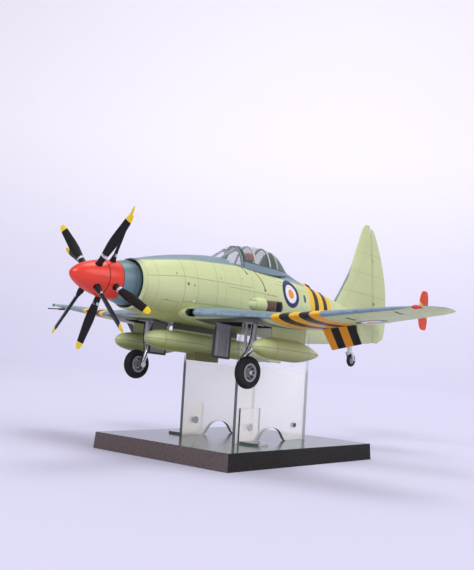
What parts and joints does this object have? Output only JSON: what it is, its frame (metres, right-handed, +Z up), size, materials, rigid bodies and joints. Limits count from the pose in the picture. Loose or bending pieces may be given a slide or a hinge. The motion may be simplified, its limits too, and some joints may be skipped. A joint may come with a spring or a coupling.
{
  "type": "display model aeroplane",
  "caption": "Display model of a carrier strike aeroplane with contra-rotating propellers, on a clear cradle stand with a black plinth.",
  "frame": {"origin": "centre of the plinth's underside", "axes": "+Z up, -Y towards the aeroplane's nose, +X towards its port wing tip"},
  "size_m": [0.282, 0.269, 0.1485],
  "materials": {
    "airframe_paint": "satin pale green",
    "upper_paint": "satin blue grey",
    "red_plastic": "satin red",
    "orange_paint": "satin orange red",
    "dark_plastic": "satin black",
    "silver_plastic": "painted aluminium",
    "exhaust_brown": "burnt metal paint",
    "tyre_black": "matt black",
    "clear_canopy": "clear",
    "clear_acrylic": "clear",
    "plinth_black": "polished top, stippled sides"
  },
  "bodies": {
    "stand": {"base": "plinth_black", "plate_port": "clear_acrylic", "plate_starboard": "clear_acrylic", "bracket_port": "clear_acrylic", "bracket_starboard": "clear_acrylic", "bracket_rivets": "clear_acrylic"},
    "airframe": {"fuselage_port": "airframe_paint", "fuselage_starboard": "airframe_paint", "inner_wing_port": "airframe_paint", "inner_wing_starboard": "airframe_paint", "outer_wing_port": "airframe_paint", "outer_wing_starboard": "airframe_paint", "fin": "airframe_paint", "tailplane_port": "airframe_paint", "tailplane_starboard": "airframe_paint", "finlets": "orange_paint", "exhaust_pipes": "exhaust_brown", "cowl_lip": "airframe_paint", "nose_ring": "upper_paint", "nose_bulkhead": "silver_plastic", "prop_shaft": "silver_plastic", "windscreen_frame": "upper_paint", "windscreen_glass": "clear_canopy", "cockpit_tub": "dark_plastic", "ejection_seat": "dark_plastic", "headrest": "red_plastic", "cockpit_controls": "dark_plastic", "main_legs": "silver_plastic", "main_oleos": "silver_plastic", "gear_stays": "silver_plastic", "gear_doors": "dark_plastic", "tail_leg": "silver_plastic", "belly_tank": "airframe_paint", "belly_crutch": "dark_plastic", "drop_tanks": "airframe_paint", "pitot_probe": "silver_plastic"},
    "front_propeller": {"front_spinner": "red_plastic", "front_hub": "silver_plastic", "front_blades": "dark_plastic"},
    "rear_propeller": {"rear_spinner": "red_plastic", "rear_hub": "silver_plastic", "rear_blades": "dark_plastic"},
    "hood": {"hood_frame": "upper_paint", "hood_glass": "clear_canopy"},
    "flap_port": {"flap_port": "airframe_paint"},
    "flap_starboard": {"flap_starboard": "airframe_paint"},
    "aileron_port": {"aileron_port": "airframe_paint"},
    "aileron_starboard": {"aileron_starboard": "airframe_paint"},
    "elevator_port": {"elevator_port": "airframe_paint"},
    "elevator_starboard": {"elevator_starboard": "airframe_paint"},
    "rudder": {"rudder": "airframe_paint"},
    "wheel_port": {"main_tyre_port": "tyre_black", "main_hub_port": "silver_plastic"},
    "wheel_starboard": {"main_tyre_starboard": "tyre_black", "main_hub_starboard": "silver_plastic"},
    "tail_fork": {"tail_fork": "silver_plastic"},
    "tail_wheel": {"tail_tyre": "tyre_black", "tail_hub": "silver_plastic"}
  },
  "joints": [
    {"name": "lift_off", "type": "slide", "parent": "stand", "child": "airframe", "axis": [0, 0, 1], "range_m": [0, 0.15]},
    {"name": "front_propeller_spin", "type": "hinge", "parent": "airframe", "child": "front_propeller", "pos_m": [0, -0.10887, 0.08881], "axis": [0, 0.9986, -0.0523], "continuous": true},
    {"name": "rear_propeller_spin", "type": "hinge", "parent": "airframe", "child": "rear_propeller", "pos_m": [0, -0.09998, 0.08834], "axis": [0, 0.9986, -0.0523], "continuous": true},
    {"name": "hood_slide", "type": "slide", "parent": "airframe", "child": "hood", "axis": [0, 0.9986, -0.0523], "range_m": [0, 0.024]},
    {"name": "flap_port_hinge", "type": "hinge", "parent": "airframe", "child": "flap_port", "pos_m": [0.076, -0.01252, 0.07393], "axis": [0.9924, -0.0697, 0.1018], "range_deg": [0, 55]},
    {"name": "flap_starboard_hinge", "type": "hinge", "parent": "airframe", "child": "flap_starboard", "pos_m": [-0.076, -0.01252, 0.07393], "axis": [0.9924, 0.0697, -0.1018], "range_deg": [0, 55]},
    {"name": "aileron_port_hinge", "type": "hinge", "parent": "airframe", "child": "aileron_port", "pos_m": [0.10925, -0.01507, 0.07739], "axis": [0.9915, -0.079, 0.1037], "range_deg": [-20, 20]},
    {"name": "aileron_starboard_hinge", "type": "hinge", "parent": "airframe", "child": "aileron_starboard", "pos_m": [-0.10925, -0.01507, 0.07739], "axis": [0.9915, 0.079, -0.1037], "range_deg": [-20, 20]},
    {"name": "elevator_port_hinge", "type": "hinge", "parent": "airframe", "child": "elevator_port", "pos_m": [0.0294, 0.13191, 0.08788], "axis": [0.9851, 0.009, 0.1719], "range_deg": [-20, 25]},
    {"name": "elevator_starboard_hinge", "type": "hinge", "parent": "airframe", "child": "elevator_starboard", "pos_m": [-0.0294, 0.13191, 0.08788], "axis": [0.9851, -0.009, -0.1719], "range_deg": [-20, 25]},
    {"name": "rudder_hinge", "type": "hinge", "parent": "airframe", "child": "rudder", "pos_m": [0, 0.12916, 0.10813], "axis": [0, -0.0906, 0.9959], "range_deg": [-22, 22]},
    {"name": "wheel_port_spin", "type": "hinge", "parent": "airframe", "child": "wheel_port", "pos_m": [0.042, -0.04066, 0.04718], "axis": [1, 0, 0], "continuous": true},
    {"name": "wheel_starboard_spin", "type": "hinge", "parent": "airframe", "child": "wheel_starboard", "pos_m": [-0.042, -0.04066, 0.04718], "axis": [1, 0, 0], "continuous": true},
    {"name": "tail_fork_swivel", "type": "hinge", "parent": "airframe", "child": "tail_fork", "pos_m": [0, 0.10695, 0.06248], "axis": [0, 0.0523, 0.9986], "continuous": true},
    {"name": "tail_wheel_spin", "type": "hinge", "parent": "tail_fork", "child": "tail_wheel", "pos_m": [0, 0.10913, 0.05635], "axis": [1, 0, 0], "continuous": true}
  ],
  "couplings": [
    {"joint": "flap_starboard_hinge", "follows": "flap_port_hinge", "ratio": 1},
    {"joint": "aileron_starboard_hinge", "follows": "aileron_port_hinge", "ratio": -1},
    {"joint": "elevator_starboard_hinge", "follows": "elevator_port_hinge", "ratio": 1}
  ]
}
